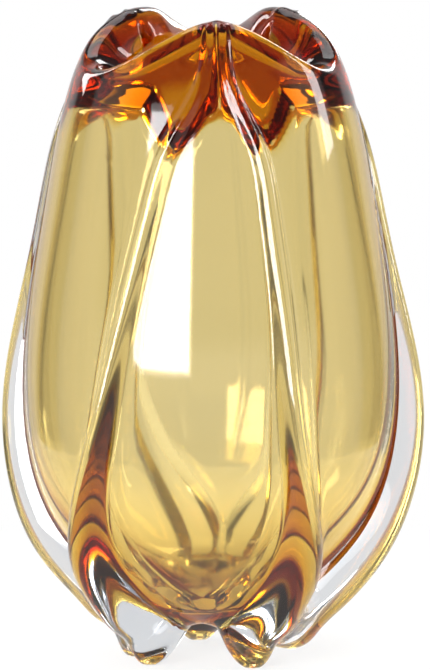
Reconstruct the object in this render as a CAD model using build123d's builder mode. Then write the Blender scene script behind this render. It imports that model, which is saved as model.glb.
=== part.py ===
import os
from math import cos, pi, radians, sin

from build123d import *

# Gourd vase in cased glass. Millimetres, Z up, front towards -Y. The origin is on
# the axis of the vessel, in the plane that the feet stand on.

# Height of the lobes of the rim before they are rounded, and radius at the belly
LOBE_HEIGHT = 263.0
BELLY_RADIUS = 73.5

# The outside of the clear casing from base to rim, and on to a dome above the rim:
# radius as a part of the belly's, height as a part of the lobes'
WALL_FORM = (
    (0.000, 0.0589),
    (0.218, 0.0589),
    (0.571, 0.1198),
    (0.857, 0.2167),
    (1.000, 0.3650),
    (0.895, 0.6958),
    (0.782, 0.8555),
    (0.626, 0.9544),
    (0.442, 1.0000),
    (0.272, 1.0228),
)
BELLY_STATION = 4
RIM_STATION = 8

# Thickness of the two layers. The amber gathers to a thick collar round the mouth,
# which begins and is full at these parts of the wall's length.
CASING_BASE = 10.0
CASING_WALL = 3.5
AMBER_BASE = 3.2
AMBER_WALL = 1.6
AMBER_COLLAR = 15.0
COLLAR_STARTS = 0.765
COLLAR_FULL = 0.875

# Clear glass rolled over the edge of the amber, and the rounding of that lip
LIP_COVER = 3.0
LIP_ROUND = 6.0

# The rim rises in three lobes; between them the wall stops short by the drop.
# The cut that leaves it is a cone with its tip on the axis, at this part of the height.
LOBES = 3
DIP_DROP = 27.0
CUT_TIP = 0.845

# The pattern turns a little from foot to rim, as the hot glass was twisted (degrees)
TURN_AT_FOOT = -10.0
TURN_AT_RIM = 4.5

# A foot stands at this part of the wall's length and is ground flat by this much
FOOT_PLACE = 0.072
FOOT_GRIND = 0.7

# One rib, from under the base up to its lobe: its stand-off under the belly, and its
# width where it is widest
RIB_REACH = 15.0
RIB_WIDTH = 23.0

# Stations of a rib: part of the wall's length, degrees off the lobe, how far it stands
# off the wall as a part of its reach, its width as a part of its widest, and the height
# of its flanks. Up to the foot, place and stand-off are parts of the foot's own.
FOOT_STATIONS = (
    (0.40, 41.0, 0.06, 0.31, 0.80),
    (0.60, 41.0, 0.16, 0.47, 0.84),
    (0.80, 41.5, 0.52, 0.66, 0.90),
    (1.00, 42.0, 1.00, 0.83, 0.92),
)
RIB_STATIONS = (
    (0.100, 44.0, 1.13, 0.94, 0.92),
    (0.125, 45.5, 1.07, 1.00, 0.92),
    (0.160, 45.0, 1.03, 1.00, 0.92),
    (0.220, 42.0, 1.00, 0.92, 0.90),
    (0.300, 36.0, 0.89, 0.65, 0.88),
    (0.400, 29.5, 0.75, 0.52, 0.86),
    (0.500, 26.5, 0.49, 0.46, 0.80),
    (0.600, 24.0, 0.29, 0.42, 0.72),
    (0.700, 20.5, 0.25, 0.38, 0.70),
    (0.760, 17.0, 0.20, 0.33, 0.70),
    (0.810, 10.5, 0.15, 0.27, 0.70),
    (0.850, 6.0, 0.12, 0.23, 0.70),
    (0.930, 5.0, 0.07, 0.15, 0.70),
)
FLANK_PLACE = 0.7

# Hairline between a rib and what it is laid against
RIB_SEAT = 0.3

# Each rib by name: its lobe, the side of the lobe, how far it was pulled out, and how
# far its foot was drawn down. The right one ends clear of the ground.
RIBS = (
    ("rib_front_left", 0, -1, 1.00, 1.00),
    ("rib_front_right", 0, 1, 1.00, 1.00),
    ("rib_right", 1, -1, 1.08, 0.62),
    ("rib_back_right", 1, 1, 0.97, 1.00),
    ("rib_back_left", 2, -1, 1.03, 1.00),
    ("rib_left", 2, 1, 0.90, 1.00),
)

RING_POINTS = 24
WALL_POINTS = 56

wall_spots = [(part * BELLY_RADIUS, rise * LOBE_HEIGHT) for part, rise in WALL_FORM]
with BuildLine(Plane.XZ) as wall_line:
    Spline(*wall_spots, tangents=((1, 0), (-1, 0.3)), tangent_scalars=(1, 1))
wall = wall_line.edge()
BASE_LIFT = wall_spots[0][1]
CUT_TIP_HEIGHT = CUT_TIP * LOBE_HEIGHT


def station_place(station):
    """Part of the wall's length at which a station of its form lies."""
    radius, height = wall_spots[station]
    return wall.param_at_point(Vector(radius, 0, height))


BELLY_PLACE = station_place(BELLY_STATION)
RIM_PLACE = station_place(RIM_STATION)


def eased(part):
    """From 0 to 1 as the part does, with a soft start and a soft end."""
    return 0.5 - 0.5 * cos(pi * min(max(part, 0), 1))


def casing_depth(place):
    return CASING_BASE + (CASING_WALL - CASING_BASE) * eased(place / BELLY_PLACE)


def glass_depth(place):
    amber = AMBER_BASE + (AMBER_WALL - AMBER_BASE) * eased(place / BELLY_PLACE)
    gathered = eased((place - COLLAR_STARTS) / (COLLAR_FULL - COLLAR_STARTS))
    return casing_depth(place) + amber + (AMBER_COLLAR - AMBER_WALL) * gathered


def wall_spot(place, depth):
    """Radius and height of a point this deep in the wall."""
    spot = wall @ place
    way = wall % place
    return spot.X - depth * way.Z, spot.Z + depth * way.X


def round_axis(radius, height, azimuth):
    """A point by its radius, its height and its azimuth from the front."""
    return Vector(radius * sin(azimuth), -radius * cos(azimuth), height)


def inside_wall(depth_at):
    """Spots along the wall from the axis to the dome, each so deep in it."""
    places = [count / WALL_POINTS for count in range(1, WALL_POINTS + 1)]
    spots = [wall_spot(place, depth_at(place)) for place in places]
    return [(0, BASE_LIFT + depth_at(0)), *spots]


def turned(spots):
    """Solid turned on the axis, with a smooth side through the spots."""
    with BuildPart() as solid:
        with BuildSketch(Plane.XZ):
            with BuildLine():
                side = Spline(*spots, tangents=((1, 0), (-1, 0.3)), tangent_scalars=(1, 1))
                Polyline(side @ 1, (0, (side @ 1).Y), side @ 0)
            make_face()
        revolve(axis=Axis.Z)
    return solid.part


def above_rim(cover):
    """What lies above the wavy rim, or above a line this far down the wall from it."""
    ring = []
    for count in range(RING_POINTS):
        azimuth = 2 * pi * count / RING_POINTS
        wave = 0.5 - 0.5 * cos(LOBES * (azimuth - radians(TURN_AT_RIM)))
        place = RIM_PLACE - (DIP_DROP * wave + cover) / wall.length
        radius, height = wall_spot(place, glass_depth(place) / 2)
        ring.append(round_axis(2 * radius, 2 * height - CUT_TIP_HEIGHT, azimuth))
    with BuildPart() as solid:
        with BuildLine() as mouth:
            Spline(*ring, periodic=True)
        with BuildLine() as top:
            Spline(*[(spot.X, spot.Y, 2 * LOBE_HEIGHT) for spot in ring], periodic=True)
        tip = Vertex(0, 0, CUT_TIP_HEIGHT)
        end = Vertex(0, 0, 2 * LOBE_HEIGHT)
        add(Solid.make_loft([tip, mouth.wire(), top.wire(), end], ruled=True))
    return solid.part


# The vase filled solid, and the room for the water
whole = turned(wall_spots)
room = turned(inside_wall(glass_depth))

# Gather of amber glass as far up as it reaches, before it is blown out
with BuildPart() as amber_gather:
    add(turned(inside_wall(casing_depth)))
    add(above_rim(LIP_COVER), mode=Mode.SUBTRACT)

# Blown amber bubble: the vessel itself
with BuildPart() as amber_vessel:
    add(amber_gather.part)
    add(room, mode=Mode.SUBTRACT)
amber_vessel.part.label = "amber_vessel"

# Clear overlay over the amber, rolled over its edge as the rounded lip
with BuildPart() as clear_casing:
    add(whole)
    add(room, mode=Mode.SUBTRACT)
    add(above_rim(0), mode=Mode.SUBTRACT)
    lip_faces = clear_casing.faces().filter_by(
        lambda face: face.bounding_box().min.Z > CUT_TIP_HEIGHT
    )
    lip_edges = lip_faces.edges().filter_by(
        lambda edge: edge.length > 2 * (CASING_WALL + AMBER_COLLAR)
    )
    fillet(lip_edges, radius=LIP_ROUND)
    add(amber_gather.part, mode=Mode.SUBTRACT)
clear_casing.part.label = "clear_casing"

os.makedirs("parts", exist_ok=True)
export_step(amber_vessel.part, "parts/amber_vessel.step")
export_step(clear_casing.part, "parts/clear_casing.step")

# Clear ribs laid on the casing, each drawn down into a foot that is ground flat. Where
# two feet of neighbouring lobes meet, each stops at the plane midway between them.
for name, lobe, side, pull, drawn in RIBS:
    foot_way = wall % FOOT_PLACE
    foot_height = drawn * ((wall @ FOOT_PLACE).Z + FOOT_GRIND) / foot_way.X
    foot_turn = TURN_AT_FOOT + (TURN_AT_RIM - TURN_AT_FOOT) * FOOT_PLACE
    stations = []
    for place, spread, reach, width, flank in FOOT_STATIONS:
        stations.append((place * FOOT_PLACE, spread, reach * foot_height, width, flank))
    for place, spread, reach, width, flank in RIB_STATIONS:
        stations.append((place, spread, reach * RIB_REACH * pull, width, flank))

    spots = []
    outs = []
    for place, spread, reach, width, flank in stations:
        turn = TURN_AT_FOOT + (TURN_AT_RIM - TURN_AT_FOOT) * place
        azimuth = radians(360 / LOBES * lobe + turn + side * spread)
        way = wall % place
        spots.append(round_axis(*wall_spot(place, 0), azimuth))
        outs.append(round_axis(way.Z, -way.X, azimuth))
    with BuildLine() as rib_line:
        Spline(*spots)
    line = rib_line.edge()

    with BuildPart() as rib:
        for spot, out, station in zip(spots, outs, stations):
            place, spread, reach, width, flank = station
            half = width * RIB_WIDTH / 2
            radius, height = wall_spot(place, 0)
            sag = half**2 * (wall % place).Z / (2 * radius)
            root = RIB_SEAT - sag
            shoulder = root + (reach - root) * flank
            peak = (8 * reach - root - 4 * shoulder) / 3
            along = line.tangent_at(line.param_at_point(spot))
            with BuildSketch(Plane(spot, x_dir=out.cross(along), z_dir=along)):
                with BuildLine():
                    crest = Bezier(
                        (-half, root),
                        (-half * FLANK_PLACE, shoulder),
                        (0, peak),
                        (half * FLANK_PLACE, shoulder),
                        (half, root),
                    )
                    Bezier(crest @ 1, (0, RIB_SEAT + sag), crest @ 0)
                make_face()
        loft()
        split(bisect_by=Plane.XY, keep=Keep.TOP)
        midway = radians(360 / LOBES * (lobe + side / 2) + foot_turn)
        to_rib = Vector(-side * cos(midway), -side * sin(midway), 0)
        split(bisect_by=Plane(to_rib * RIB_SEAT / 2, z_dir=to_rib), keep=Keep.TOP)
    rib.part.label = name
    export_step(rib.part, f"parts/{name}.step")
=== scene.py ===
from math import cos, pi, radians, sin

import bpy
import numpy as np
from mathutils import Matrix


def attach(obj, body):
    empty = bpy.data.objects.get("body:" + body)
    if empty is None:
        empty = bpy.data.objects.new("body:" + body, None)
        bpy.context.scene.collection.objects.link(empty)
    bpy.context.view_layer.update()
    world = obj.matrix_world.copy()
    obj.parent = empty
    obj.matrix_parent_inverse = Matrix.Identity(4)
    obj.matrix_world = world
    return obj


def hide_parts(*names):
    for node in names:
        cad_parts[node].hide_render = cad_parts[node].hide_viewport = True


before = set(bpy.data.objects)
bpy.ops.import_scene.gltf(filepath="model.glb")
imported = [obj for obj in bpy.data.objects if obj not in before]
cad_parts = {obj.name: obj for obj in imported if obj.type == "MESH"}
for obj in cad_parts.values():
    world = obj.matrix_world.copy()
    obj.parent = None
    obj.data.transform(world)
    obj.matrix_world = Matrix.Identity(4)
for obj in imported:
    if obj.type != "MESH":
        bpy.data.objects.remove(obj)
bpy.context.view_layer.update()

# Amber vessel: the bubble of amber glass that was blown first and holds the water.
# Its wall is thin at the belly, and thick in the base and round the mouth, where the
# colour gathers to orange and red. It lies wholly inside the clear glass, fused to it.
MM = 0.001

# The outside of the clear casing from base to rim, and on to a dome above the rim:
# radius as a part of the belly's, height as a part of the lobes'. Then the way that it
# runs at its two ends.
LOBE_HEIGHT = 263.0 * MM
BELLY_RADIUS = 73.5 * MM
WALL_STATIONS = np.array((
    (0.000, 0.0589),
    (0.218, 0.0589),
    (0.571, 0.1198),
    (0.857, 0.2167),
    (1.000, 0.3650),
    (0.895, 0.6958),
    (0.782, 0.8555),
    (0.626, 0.9544),
    (0.442, 1.0000),
    (0.272, 1.0228),
)) * (BELLY_RADIUS, LOBE_HEIGHT)
BASE_LIFT = WALL_STATIONS[0, 1]
BELLY_STATION = 4
RIM_STATION = 8
WALL_ENDS = ((1.0, 0.0), (-0.958, 0.287))
WALL_SAMPLES = 6001

# Thickness of the clear glass and of the amber in it, from the base to the mouth
CASING_BASE = 10.0 * MM
CASING_WALL = 3.5 * MM
CASING_MOUTH = 5.0 * MM
AMBER_BASE = 3.2 * MM
AMBER_WALL = 1.6 * MM
AMBER_COLLAR = 13.5 * MM

# The thick collar of the amber, in parts of the wall's length: where it starts, how soon
# it is full, and how much higher it starts between the lobes
COLLAR_PLACE = 0.79
COLLAR_RAMP = 0.06
COLLAR_LIFT = 0.012

# Two drips hang from it at each lobe, to either side, and the groove between them takes
# away this part of the collar's thickness
DRIP_DEPTH = 0.045
DRIP_SPREAD = radians(20.0)
DRIP_WIDTH = radians(15.0)
DRIP_FULLNESS = 0.7
GROOVE_DEPTH = 0.55
GROOVE_WIDTH = radians(6.0)

# The rim rises in three lobes, at these azimuths from the front and round to the front
# again. Between them the wall stops short, less so at the back.
LOBES = 3
LOBE_TURNS = np.radians((4.5, 127.0, 233.0, 364.5))
DIP_DROP = 27.0 * MM
BACK_DROP = 19.0 * MM
BACK_FULLNESS = 1.6
TURN_AT_RIM = radians(4.5)

# The amber's own edge: clear glass over it, the height of its rounding, and the hairline
# of clear glass between the amber and the room
LIP_COVER = 3.0 * MM
AMBER_EDGE = 5.0 * MM
HAIRLINE = 0.05 * MM

AMBER_COLUMNS = 180
AMBER_ROWS = 110
AMBER_EDGE_ROWS = 14
AMBER_FIRST_ROW = 0.01

# Light left in red, green and blue, and how strongly the rest is taken up. The amber is
# fused into the clear glass, so no light bends where they meet.
AMBER_STAIN = (0.92, 0.735, 0.0)
AMBER_STRENGTH = 380
FUSED_IOR = 1.0
FIRE_POLISHED = 0


def smooth_line(spots, values, ends=None):
    """Slopes of the smooth curve through the values; ends are its end slopes."""
    gaps = np.diff(spots)
    rises = np.diff(values, axis=0) / gaps[:, None]
    count = len(spots)
    system = np.zeros((count, count))
    wanted = np.zeros_like(values)
    for i in range(1, count - 1):
        system[i, i - 1] = gaps[i]
        system[i, i] = 2 * (gaps[i - 1] + gaps[i])
        system[i, i + 1] = gaps[i - 1]
        wanted[i] = 3 * (gaps[i] * rises[i - 1] + gaps[i - 1] * rises[i])
    for end, side, rise in ((0, 1, rises[0]), (-1, -2, rises[-1])):
        system[end, end] = 2 if ends is None else 1
        system[end, side] = 1 if ends is None else 0
        wanted[end] = 3 * rise if ends is None else ends[end]
    return np.linalg.solve(system, wanted)


def along_line(spots, values, slopes, wanted):
    """Values of that curve at the wanted spots."""
    wanted = np.clip(wanted, spots[0], spots[-1])
    span = np.clip(np.searchsorted(spots, wanted) - 1, 0, len(spots) - 2)
    gap = (spots[span + 1] - spots[span])[..., None]
    part = (wanted - spots[span])[..., None] / gap
    return (
        values[span] * (1 + 2 * part) * (1 - part) ** 2
        + values[span + 1] * part**2 * (3 - 2 * part)
        + slopes[span] * gap * part * (1 - part) ** 2
        - slopes[span + 1] * gap * part**2 * (1 - part)
    )


def steps_run(points):
    """How far along a line of points each of them lies."""
    return np.concatenate(([0], np.cumsum(np.linalg.norm(np.diff(points, axis=0), axis=1))))


station_runs = steps_run(WALL_STATIONS)
station_slopes = smooth_line(station_runs, WALL_STATIONS, WALL_ENDS)
wall_samples = np.linspace(0, station_runs[-1], WALL_SAMPLES)
wall_line = along_line(station_runs, WALL_STATIONS, station_slopes, wall_samples)
wall_run = steps_run(wall_line)
WALL_LENGTH = wall_run[-1]
wall_places = wall_run / WALL_LENGTH
wall_ways = np.gradient(wall_line, wall_run, axis=0)
BELLY_PLACE = np.interp(station_runs[BELLY_STATION], wall_samples, wall_places)
RIM_PLACE = np.interp(station_runs[RIM_STATION], wall_samples, wall_places)


def eased(part):
    """From 0 to 1 as the part does, with a soft start and a soft end."""
    return 0.5 - 0.5 * np.cos(pi * np.clip(part, 0, 1))


def casing_depth(place):
    """Thickness of the clear glass outside the amber."""
    wall = CASING_BASE + (CASING_WALL - CASING_BASE) * eased(place / BELLY_PLACE)
    mouth = eased((place - COLLAR_PLACE) / (RIM_PLACE - COLLAR_PLACE))
    return wall + (CASING_MOUTH - CASING_WALL) * mouth


def off_lobe(azimuth):
    """Azimuth from the nearest of three even lobes."""
    sector = 2 * pi / LOBES
    return (azimuth - TURN_AT_RIM + sector / 2) % sector - sector / 2


def glass_depth(place, azimuth):
    """Depth of the room's side. From each lobe the collar hangs in two drips, where the
    ribs were pressed on, with a groove between them."""
    amber = AMBER_BASE + (AMBER_WALL - AMBER_BASE) * eased(place / BELLY_PLACE)
    aside = np.abs(off_lobe(azimuth))
    drips = (1 - eased(np.abs(aside - DRIP_SPREAD) / DRIP_WIDTH)) ** DRIP_FULLNESS
    starts = COLLAR_PLACE + COLLAR_LIFT * eased(aside / (pi / LOBES)) - DRIP_DEPTH * drips
    gathered = eased((place - starts) / COLLAR_RAMP)
    groove = GROOVE_DEPTH * (1 - eased(aside / GROOVE_WIDTH))
    return casing_depth(place) + amber + (AMBER_COLLAR - AMBER_WALL) * gathered * (1 - groove)


def in_wall(place, depth, azimuth):
    """Points this deep in the wall, at these places and azimuths from the front."""
    radius = np.interp(place, wall_places, wall_line[:, 0])
    height = np.interp(place, wall_places, wall_line[:, 1])
    radius = radius - depth * np.interp(place, wall_places, wall_ways[:, 1])
    height = height + depth * np.interp(place, wall_places, wall_ways[:, 0])
    return np.stack((radius * np.sin(azimuth), -radius * np.cos(azimuth), height), axis=-1)


def rim_place(azimuth):
    """Where the wall ends: high at the three lobes and lower between them, least so at
    the back."""
    turn = (azimuth - LOBE_TURNS[0]) % (2 * pi) + LOBE_TURNS[0]
    lobe = np.interp(turn, LOBE_TURNS, (0, 1, 2, 3))
    wave = 0.5 - 0.5 * np.cos(2 * pi * lobe)
    at_back = (lobe > 1) & (lobe < 2)
    drop = np.where(at_back, BACK_DROP * wave**BACK_FULLNESS, DIP_DROP * wave)
    return RIM_PLACE - drop / WALL_LENGTH


def closed_skin(name, rings, first_pole, last_pole):
    """Closed mesh through rings of points, each end drawn together to a pole."""
    rows, columns = rings.shape[:2]
    points = np.concatenate((rings.reshape(-1, 3), (first_pole, last_pole)))
    low = np.arange((rows - 1) * columns)
    step = np.where(low % columns == columns - 1, 1 - columns, 1)
    faces = np.stack((low, low + step, low + step + columns, low + columns), axis=1).tolist()
    edge = np.arange(columns)
    beside = (edge + 1) % columns
    last = (rows - 1) * columns
    pole = rows * columns
    faces += [(pole, b, a) for a, b in zip(edge.tolist(), beside.tolist())]
    faces += [(pole + 1, last + a, last + b) for a, b in zip(edge.tolist(), beside.tolist())]
    mesh = bpy.data.meshes.new(name)
    mesh.from_pydata(points.tolist(), [], faces)
    mesh.update()
    mesh.shade_smooth()
    piece = bpy.data.objects.new(name, mesh)
    bpy.context.collection.objects.link(piece)
    return piece


def glass(name, ior, roughness, stain, strength):
    """Clear or coloured glass, which takes up light on the way through it."""
    material = bpy.data.materials.new(name)
    material.use_nodes = True
    nodes = material.node_tree.nodes
    surface = nodes["Principled BSDF"]
    surface.inputs["Base Color"].default_value = (1, 1, 1, 1)
    surface.inputs["Roughness"].default_value = roughness
    surface.inputs["IOR"].default_value = ior
    surface.inputs["Transmission Weight"].default_value = 1
    inside = nodes.new("ShaderNodeVolumeAbsorption")
    inside.inputs["Color"].default_value = (*stain, 1)
    inside.inputs["Density"].default_value = strength
    output = nodes["Material Output"]
    material.node_tree.links.new(inside.outputs["Volume"], output.inputs["Volume"])
    return material


amber_azimuths = np.linspace(0, 2 * pi, AMBER_COLUMNS, endpoint=False)[None, :]
amber_end = rim_place(amber_azimuths) - (LIP_COVER + AMBER_EDGE) / WALL_LENGTH
amber_up = np.linspace(AMBER_FIRST_ROW, 1, AMBER_ROWS)[:, None]
amber_places = amber_up * amber_end
amber_outside = in_wall(amber_places, casing_depth(amber_places), amber_azimuths)
amber_over = np.linspace(0, pi, AMBER_EDGE_ROWS)[1:-1, None]
edge_places = amber_end + AMBER_EDGE / WALL_LENGTH * np.sin(amber_over)
edge_starts = casing_depth(edge_places)
edge_thickness = glass_depth(edge_places, amber_azimuths) - HAIRLINE - edge_starts
edge_depths = edge_starts + (0.5 - 0.5 * np.cos(amber_over)) * edge_thickness
amber_edge = in_wall(edge_places, edge_depths, amber_azimuths)
inner_places = amber_places[::-1]
inner_depths = glass_depth(inner_places, amber_azimuths) - HAIRLINE
amber_inside = in_wall(inner_places, inner_depths, amber_azimuths)
amber_vessel = closed_skin(
    "amber_vessel_blown",
    np.concatenate((amber_outside, amber_edge, amber_inside)),
    (0, 0, BASE_LIFT + CASING_BASE),
    (0, 0, BASE_LIFT + CASING_BASE + AMBER_BASE - HAIRLINE),
)
amber_glass = glass("amber_glass", FUSED_IOR, FIRE_POLISHED, AMBER_STAIN, AMBER_STRENGTH)
amber_vessel.data.materials.append(amber_glass)
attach(amber_vessel, "root")
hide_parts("amber_vessel")

# Clear casing with its six ribs: clear glass gathered over the amber bubble, rolled over
# its edge as the lip, with ribs laid on hot and drawn down into feet. All of it melts
# into one skin, so it is one piece here, with soft hollows where the ribs meet the wall.

# Height of the lip's rounding, how far it keeps below the edge of the solid, and the
# power that makes its curve fuller
LIP_ROUND = 6.0 * MM
LIP_INSET = 2.0 * MM
LIP_FULLNESS = 0.85

# The pattern turns a little from foot to rim, as the hot glass was twisted
TURN_AT_FOOT = radians(-10.0)

# A foot stands at this part of the wall's length and is ground flat by this much
FOOT_PLACE = 0.072
FOOT_GRIND = 0.7 * MM

# Stations of a rib: part of the wall's length, degrees off the lobe, how far it stands
# off the wall as a part of its reach, its width as a part of its widest, and the height
# of its flanks. Up to the foot, place and stand-off are parts of the foot's own.
RIB_REACH = 15.0 * MM
RIB_WIDTH = 23.0 * MM
FOOT_STATIONS = np.array((
    (0.40, 41.0, 0.06, 0.31, 0.80),
    (0.60, 41.0, 0.16, 0.47, 0.84),
    (0.80, 41.5, 0.52, 0.66, 0.90),
    (1.00, 42.0, 1.00, 0.83, 0.92),
))
RIB_STATIONS = np.array((
    (0.100, 44.0, 1.13, 0.94, 0.92),
    (0.125, 45.5, 1.07, 1.00, 0.92),
    (0.160, 45.0, 1.03, 1.00, 0.92),
    (0.220, 42.0, 1.00, 0.92, 0.90),
    (0.300, 36.0, 0.89, 0.65, 0.88),
    (0.400, 29.5, 0.75, 0.52, 0.86),
    (0.500, 26.5, 0.49, 0.46, 0.80),
    (0.600, 24.0, 0.29, 0.42, 0.72),
    (0.700, 20.5, 0.25, 0.38, 0.70),
    (0.760, 17.0, 0.20, 0.33, 0.70),
    (0.810, 10.5, 0.15, 0.27, 0.70),
    (0.850, 6.0, 0.12, 0.23, 0.70),
    (0.930, 5.0, 0.07, 0.15, 0.70),
))

# Each rib from the front left one round to the left one: its lobe, the side of the lobe,
# how far it was pulled out, and how far its foot was drawn down. Then, in the same order,
# how far across each rib its flanks stand.
RIBS = (
    (0, -1, 1.00, 1.00),
    (0, 1, 1.00, 1.00),
    (1, -1, 1.08, 0.62),
    (1, 1, 0.97, 1.00),
    (2, -1, 1.03, 1.00),
    (2, 1, 0.90, 1.00),
)
FLANK_PLACES = (0.7, 0.7, 0.95, 0.75, 0.75, 0.95)

# A rib's edges sink into the casing, and melt into it the more, the further it stands
# off. All of it is trimmed a little, to stay within the solid.
RIB_SINK = 0.4 * MM
MELT = 1.0 * MM
MELT_SHARE = 0.45
TRIM = 0.12 * MM
LEAN_STEP = 0.002

# Columns of the skin run along the ribs, close together over each rib and a little
# beyond it. From this part of the way up they spread out, to lie evenly at the lip.
RIB_COLUMNS = 17
PANEL_COLUMNS = 26
RIB_SPAN = 1.3
WIDEST_SPAN = 0.36
SPREAD_FROM = 0.72
SPREAD_OVER = 0.22

# Rows of the skin, closest over the feet: parts of the way up from base to lip, and how
# many rows lie in each. The upper rows are drawn down to follow the waves of the rim.
ROW_STOPS = (0.006, 0.035, 0.235, 0.76, 1.0)
ROW_COUNTS = (4, 65, 61, 41)
WAVES_FROM = 0.55
WAVES_OVER = 0.45
LIP_ROWS = 18
ROOM_ROWS = 84
ROOM_LAST_ROW = 0.012
SECTION_POINTS = 401
SHARP_EDGE = radians(50)

# Clear glass with a trace of cool grey, its skin not quite as smooth as a polished one
GLASS_TINT = (0.32, 0.42, 0.56)
GLASS_STRENGTH = 7
GLASS_IOR = 1.5
HAND_WORKED = 0.055

foot_run = np.interp(FOOT_PLACE, wall_places, wall_ways[:, 0])
foot_height = (np.interp(FOOT_PLACE, wall_places, wall_line[:, 1]) + FOOT_GRIND) / foot_run


def rib_stations(pull, drawn):
    """Stations of one rib from under the base to its lobe, in metres and radians."""
    feet = FOOT_STATIONS * (FOOT_PLACE, radians(1), drawn * foot_height, RIB_WIDTH, 1)
    ribs = RIB_STATIONS * (1, radians(1), pull * RIB_REACH, RIB_WIDTH, 1)
    return np.concatenate((feet, ribs))


def rib_line(lobe, side, pull, drawn, place):
    """Azimuth, stand-off, width and height of the flanks of one rib at these places."""
    table = rib_stations(pull, drawn)
    spots = table[:, 0]
    values = table[:, 1:]
    found = along_line(spots, values, smooth_line(spots, values), place)
    spread, reach, width, flank = np.moveaxis(found, -1, 0)
    turn = TURN_AT_FOOT + (TURN_AT_RIM - TURN_AT_FOOT) * place
    return 2 * pi / LOBES * lobe + turn + side * spread, reach, width, flank


def soft_top(one, other, melt):
    """The higher of two surfaces, melted together where they cross."""
    near = np.maximum(melt - np.abs(one - other), 0)
    return np.maximum(one, other) + near**2 / (4 * melt)


# A rib's section is one curve over its root, flank, crest, flank and root: how much each
# of these counts along it
section = np.linspace(0, 1, SECTION_POINTS)
root_share = (1 - section) ** 4 + section**4
flank_share = 4 * (1 - section) ** 3 * section + 4 * (1 - section) * section**3
crest_share = 6 * (1 - section) ** 2 * section**2


def rib_across(flank_place):
    """Places across a rib, -1 to 1, along the curve of its section."""
    ends = section**4 - (1 - section) ** 4
    flanks = 4 * (1 - section) * section**3 - 4 * (1 - section) ** 3 * section
    return ends + flank_place * flanks


def rib_half(rib, place):
    """Half a rib's width at these places, as an azimuth: a leaning rib spans more of it."""
    radius = np.interp(place, wall_places, wall_line[:, 0])
    centre, reach, width, flank = rib_line(*rib, place)
    ahead = rib_line(*rib, place + LEAN_STEP)[0]
    lean = np.arctan(radius * (ahead - centre) / (LEAN_STEP * WALL_LENGTH))
    return width / 2 / (radius * np.cos(lean))


def ribs_over(place, azimuth):
    """How far the ribs lift the outside off the casing, melted into it."""
    lift = np.zeros(np.broadcast(place, azimuth).shape)
    for rib, flank_place in zip(RIBS, FLANK_PLACES):
        centre, reach, width, flank = rib_line(*rib, place)
        aside = (azimuth - centre + pi) % (2 * pi) - pi
        across = aside / rib_half(rib, place)
        root = -RIB_SINK
        shoulder = root + (reach - root) * flank
        peak = (8 * reach - root - 4 * shoulder) / 3
        spot = np.interp(across, rib_across(flank_place), section)
        height = (
            root * np.interp(spot, section, root_share)
            + shoulder * np.interp(spot, section, flank_share)
            + peak * np.interp(spot, section, crest_share)
        )
        height = height - np.maximum(np.abs(across) - 1, 0) * width / 2
        lift = soft_top(lift, height - TRIM, MELT + MELT_SHARE * np.maximum(reach, 0))
    return lift


rows = [
    np.linspace(low, high, count, endpoint=False)
    for low, high, count in zip(ROW_STOPS, ROW_STOPS[1:], ROW_COUNTS)
]
skin_up = np.concatenate((*rows, ROW_STOPS[-1:]))[:, None]
centres = []
spans = []
for rib in RIBS:
    centres.append(rib_line(*rib, skin_up * RIM_PLACE)[0])
    spans.append(np.minimum(RIB_SPAN * rib_half(rib, skin_up * RIM_PLACE), WIDEST_SPAN))
centres.append(centres[0] + 2 * pi)
spans.append(spans[0])
half_section = np.linspace(0.5, 1, RIB_COLUMNS, endpoint=False)
rib_parts = np.interp(half_section, section, rib_across(FLANK_PLACES[0]))[None, :]
rib_parts_back = np.concatenate((np.ones((1, 1)), rib_parts[:, :0:-1]), axis=1)
panel_parts = np.linspace(0, 1, PANEL_COLUMNS, endpoint=False)[None, :]
strips = []
for low, high, low_span, high_span in zip(centres, centres[1:], spans, spans[1:]):
    strips.append(low + low_span * rib_parts)
    strips.append(low + low_span + (high - high_span - low - low_span) * panel_parts)
    strips.append(high - high_span * rib_parts_back)
along_ribs = np.concatenate(strips, axis=1)
evenly = centres[0][0] + np.linspace(0, 2 * pi, along_ribs.shape[1], endpoint=False)[None, :]
spread_out = np.clip((skin_up - SPREAD_FROM) / SPREAD_OVER, 0, 1)
spread_out = spread_out**2 * (3 - 2 * spread_out)
skin_azimuths = along_ribs * (1 - spread_out) + evenly * spread_out
lip_azimuths = skin_azimuths[-1:]
lip_end = rim_place(lip_azimuths) - (LIP_ROUND + LIP_INSET) / WALL_LENGTH


def to_lip(up):
    """Places in the wall at these parts of the way up to the wavy lip."""
    drawn_down = np.clip((up - WAVES_FROM) / WAVES_OVER, 0, 1) ** 2
    return up * RIM_PLACE - drawn_down * (RIM_PLACE - lip_end)


skin_places = to_lip(skin_up)
skin_outside = in_wall(skin_places, -ribs_over(skin_places, skin_azimuths), skin_azimuths)
lip_over = np.linspace(0, pi, LIP_ROWS)[1:-1, None]
lip_places = lip_end + LIP_ROUND / WALL_LENGTH * np.sin(lip_over) ** LIP_FULLNESS
lip_depths = (0.5 - 0.5 * np.cos(lip_over)) * glass_depth(lip_places, lip_azimuths)
lip = in_wall(lip_places, lip_depths, lip_azimuths)
room_places = to_lip(np.linspace(1, ROOM_LAST_ROW, ROOM_ROWS)[:, None])
room_side = in_wall(room_places, glass_depth(room_places, lip_azimuths), lip_azimuths)
skin_rings = np.concatenate((skin_outside, lip, room_side))

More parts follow.
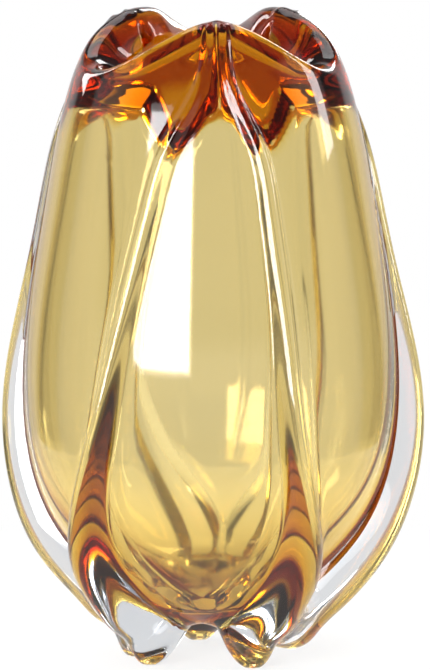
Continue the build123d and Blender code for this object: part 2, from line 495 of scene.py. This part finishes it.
# The feet are ground flat in the plane that they stand on
skin_rings[..., 2] = np.maximum(skin_rings[..., 2], 0)
clear_glass_skin = closed_skin(
    "clear_casing_and_ribs",
    skin_rings,
    (0, 0, BASE_LIFT),
    (0, 0, BASE_LIFT + CASING_BASE + AMBER_BASE),
)
clear_glass_skin.data.set_sharp_from_angle(angle=SHARP_EDGE)
clear_glass = glass("clear_glass", GLASS_IOR, HAND_WORKED, GLASS_TINT, GLASS_STRENGTH)
clear_glass_skin.data.materials.append(clear_glass)
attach(clear_glass_skin, "root")
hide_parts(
    "clear_casing",
    "rib_front_left",
    "rib_front_right",
    "rib_right",
    "rib_back_right",
    "rib_back_left",
    "rib_left",
)

# Floor: a wide pale table top that the feet stand on. It shows white to the eye and
# through the glass, and keeps part of the vase's soft shadow.
FLOOR_HALF = 0.32
FLOOR_GAP = 0.2 * MM
FLOOR_SHADE = 0.9
FLOOR_ROUGHNESS = 0.9

# How much of the shadow is kept to the eye and in the glass, and the distances from the
# middle at which it is gone and at which it is full
SHADOW_KEPT = 0.2
SHADOW_IN_GLASS = 0.5
SHADOW_FADE = (0.30, 0.12)


def maths(tree, operation, *values):
    """A math node on these sockets or numbers."""
    node = tree.nodes.new("ShaderNodeMath")
    node.operation = operation
    for socket, value in zip(node.inputs, values):
        if isinstance(value, (int, float)):
            socket.default_value = value
        else:
            tree.links.new(value, socket)
    return node.outputs[0]


def from_to(tree, value, low, high):
    """0 at the low value to 1 at the high one, with soft ends."""
    step = tree.nodes.new("ShaderNodeMapRange")
    step.interpolation_type = "SMOOTHSTEP"
    tree.links.new(value, step.inputs["Value"])
    step.inputs["From Min"].default_value = low
    step.inputs["From Max"].default_value = high
    return step.outputs["Result"]


corners = ((-1, -1), (1, -1), (1, 1), (-1, 1))
floor_mesh = bpy.data.meshes.new("floor")
floor_mesh.from_pydata([(x * FLOOR_HALF, y * FLOOR_HALF, 0) for x, y in corners], [], [(0, 1, 2, 3)])
floor = bpy.data.objects.new("floor", floor_mesh)
bpy.context.collection.objects.link(floor)
floor.location.z = -FLOOR_GAP
pale_floor = bpy.data.materials.new("pale_floor")
pale_floor.use_nodes = True
tree = pale_floor.node_tree
matt = tree.nodes["Principled BSDF"]
matt.inputs["Base Color"].default_value = (FLOOR_SHADE, FLOOR_SHADE, FLOOR_SHADE, 1)
matt.inputs["Roughness"].default_value = FLOOR_ROUGHNESS
matt.inputs["Specular IOR Level"].default_value = 0
white = tree.nodes.new("ShaderNodeEmission")
white.inputs["Color"].default_value = (1, 1, 1, 1)
white.inputs["Strength"].default_value = 1
where = tree.nodes.new("ShaderNodeNewGeometry")
away = tree.nodes.new("ShaderNodeVectorMath")
away.operation = "LENGTH"
tree.links.new(where.outputs["Position"], away.inputs[0])
near = from_to(tree, away.outputs["Value"], *SHADOW_FADE)
ray = tree.nodes.new("ShaderNodeLightPath")
through = ray.outputs["Is Transmission Ray"]
eye = maths(tree, "MAXIMUM", ray.outputs["Is Camera Ray"], ray.outputs["Is Glossy Ray"])
kept = maths(tree, "MULTIPLY_ADD", through, SHADOW_IN_GLASS - SHADOW_KEPT, SHADOW_KEPT)
kept = maths(tree, "MULTIPLY", kept, near)
shown = maths(tree, "MAXIMUM", eye, through)
whitened = maths(tree, "MULTIPLY", shown, maths(tree, "SUBTRACT", 1, kept))
mixed = tree.nodes.new("ShaderNodeMixShader")
tree.links.new(whitened, mixed.inputs["Fac"])
tree.links.new(matt.outputs["BSDF"], mixed.inputs[1])
tree.links.new(white.outputs["Emission"], mixed.inputs[2])
tree.links.new(mixed.outputs["Shader"], tree.nodes["Material Output"].inputs["Surface"])
floor_mesh.materials.append(pale_floor)

# Studio: white paper all round the vase, with dark cloth flags behind it to both sides,
# overhead and in front, which draw the dark lines in the glass. Soft boxes on stands
# shine between the flags, the brightest from the front left.
PAPER_SHADE = 0.82
FLAG_SHADE = 0.14
ROOM_LIGHT = 0.9

# Where each flag starts and where it is full, along Y and Z of the way that is looked
BACK_FLAG_NEAR = (0.28, 0.38)
BACK_FLAG_FAR = (0.78, 0.68)
BACK_FLAG_LOW = (-0.36, -0.25)
TOP_FLAG_LOW = (0.55, 0.68)
FRONT_FLAG_NEAR = (-0.05, -0.40)
FRONT_FLAG_LOW = (0.0, 0.1)

world = bpy.data.worlds.new("studio")
bpy.context.scene.world = world
world.use_nodes = True
tree = world.node_tree
tree.nodes.clear()
way = tree.nodes.new("ShaderNodeTexCoord")
split = tree.nodes.new("ShaderNodeSeparateXYZ")
tree.links.new(way.outputs["Generated"], split.inputs["Vector"])
behind = split.outputs["Y"]
upward = split.outputs["Z"]
back_flags = maths(
    tree, "MULTIPLY", from_to(tree, behind, *BACK_FLAG_FAR), from_to(tree, behind, *BACK_FLAG_NEAR)
)
back_flags = maths(tree, "MULTIPLY", back_flags, from_to(tree, upward, *BACK_FLAG_LOW))
top_flag = from_to(tree, upward, *TOP_FLAG_LOW)
front_flag = maths(
    tree, "MULTIPLY", from_to(tree, behind, *FRONT_FLAG_NEAR), from_to(tree, upward, *FRONT_FLAG_LOW)
)
flags = maths(tree, "MAXIMUM", maths(tree, "MAXIMUM", back_flags, top_flag), front_flag)
shade = maths(tree, "MULTIPLY_ADD", flags, FLAG_SHADE - PAPER_SHADE, PAPER_SHADE)
ray = tree.nodes.new("ShaderNodeLightPath")
eye = ray.outputs["Is Camera Ray"]
glassy = maths(tree, "MAXIMUM", ray.outputs["Is Glossy Ray"], ray.outputs["Is Transmission Ray"])
other = maths(tree, "SUBTRACT", 1, maths(tree, "MAXIMUM", eye, glassy))
brightness = maths(tree, "MULTIPLY_ADD", glassy, shade, eye)
brightness = maths(tree, "MULTIPLY_ADD", other, ROOM_LIGHT, brightness)
paper = tree.nodes.new("ShaderNodeBackground")
paper.inputs["Color"].default_value = (1, 1, 1, 1)
tree.links.new(brightness, paper.inputs["Strength"])
world_out = tree.nodes.new("ShaderNodeOutputWorld")
tree.links.new(paper.outputs["Background"], world_out.inputs["Surface"])

# Soft boxes by name: azimuth from the front, elevation of the lower and the upper edge,
# width, distance and brightness
VASE_MIDDLE = 0.13
SOFT_BOXES = (
    ("key_soft_box", -30, -1.5, 25, 0.94, 1.5, 15),
    ("key_halo", -30, -2.5, 27, 1.06, 1.55, 3),
    ("side_soft_box", 100, 10, 45, 0.25, 1.5, 8),
    ("back_soft_box", 160, 12, 45, 0.35, 1.6, 8),
    ("far_soft_box", -130, 12, 45, 0.3, 1.6, 8),
)
OVERHEAD_SIZE = 0.9
OVERHEAD_BRIGHTNESS = 2.5
OVERHEAD_PLACE = (0, 0.5, 1.5)

for name, azimuth, low, high, width, distance, bright in SOFT_BOXES:
    lamp = bpy.data.lights.new(name, "AREA")
    lamp.shape = "RECTANGLE"
    bottom = distance * np.tan(radians(low))
    top = distance * np.tan(radians(high))
    lamp.size = width
    lamp.size_y = top - bottom
    lamp.energy = bright * pi * lamp.size * lamp.size_y
    stand = bpy.data.objects.new(name, lamp)
    bpy.context.collection.objects.link(stand)
    turn = radians(azimuth)
    middle = VASE_MIDDLE + (top + bottom) / 2
    stand.location = (distance * sin(turn), -distance * cos(turn), middle)
    stand.rotation_euler = (pi / 2, 0, turn)
overhead_lamp = bpy.data.lights.new("overhead_soft_box", "AREA")
overhead_lamp.size = OVERHEAD_SIZE
overhead_lamp.energy = OVERHEAD_BRIGHTNESS * pi * OVERHEAD_SIZE**2
overhead_stand = bpy.data.objects.new("overhead_soft_box", overhead_lamp)
bpy.context.collection.objects.link(overhead_stand)
overhead_stand.location = OVERHEAD_PLACE

# Light is followed far into the thick glass, so that no part of it shows black
GLASS_BOUNCES = 40
GLOSS_BOUNCES = 16
light_paths = bpy.context.scene.cycles
light_paths.max_bounces = GLASS_BOUNCES
light_paths.transmission_bounces = GLASS_BOUNCES
light_paths.glossy_bounces = GLOSS_BOUNCES
light_paths.transparent_max_bounces = GLASS_BOUNCES

# Camera: a long lens a little above the vase, with the whole vase filling the frame.
# PIXEL is what one pixel of the frame shows at the vase.
IMAGE_HEIGHT = 670
PIXEL = 0.4 * MM
DISTANCE = 2.4
ELEVATION = radians(8.5)
AIM = (0.002, 0.0, 0.130)
SENSOR_HEIGHT = 36
lens = bpy.data.cameras.new("camera")
lens.sensor_fit = "VERTICAL"
lens.sensor_height = SENSOR_HEIGHT
lens.lens = SENSOR_HEIGHT * DISTANCE / (IMAGE_HEIGHT * PIXEL)
camera = bpy.data.objects.new("camera", lens)
bpy.context.collection.objects.link(camera)
camera.location = (AIM[0], AIM[1] - DISTANCE * cos(ELEVATION), AIM[2] + DISTANCE * sin(ELEVATION))
camera.rotation_euler = (pi / 2 - ELEVATION, 0, 0)
bpy.context.scene.camera = camera
bpy.context.scene.view_settings.view_transform = "Standard"
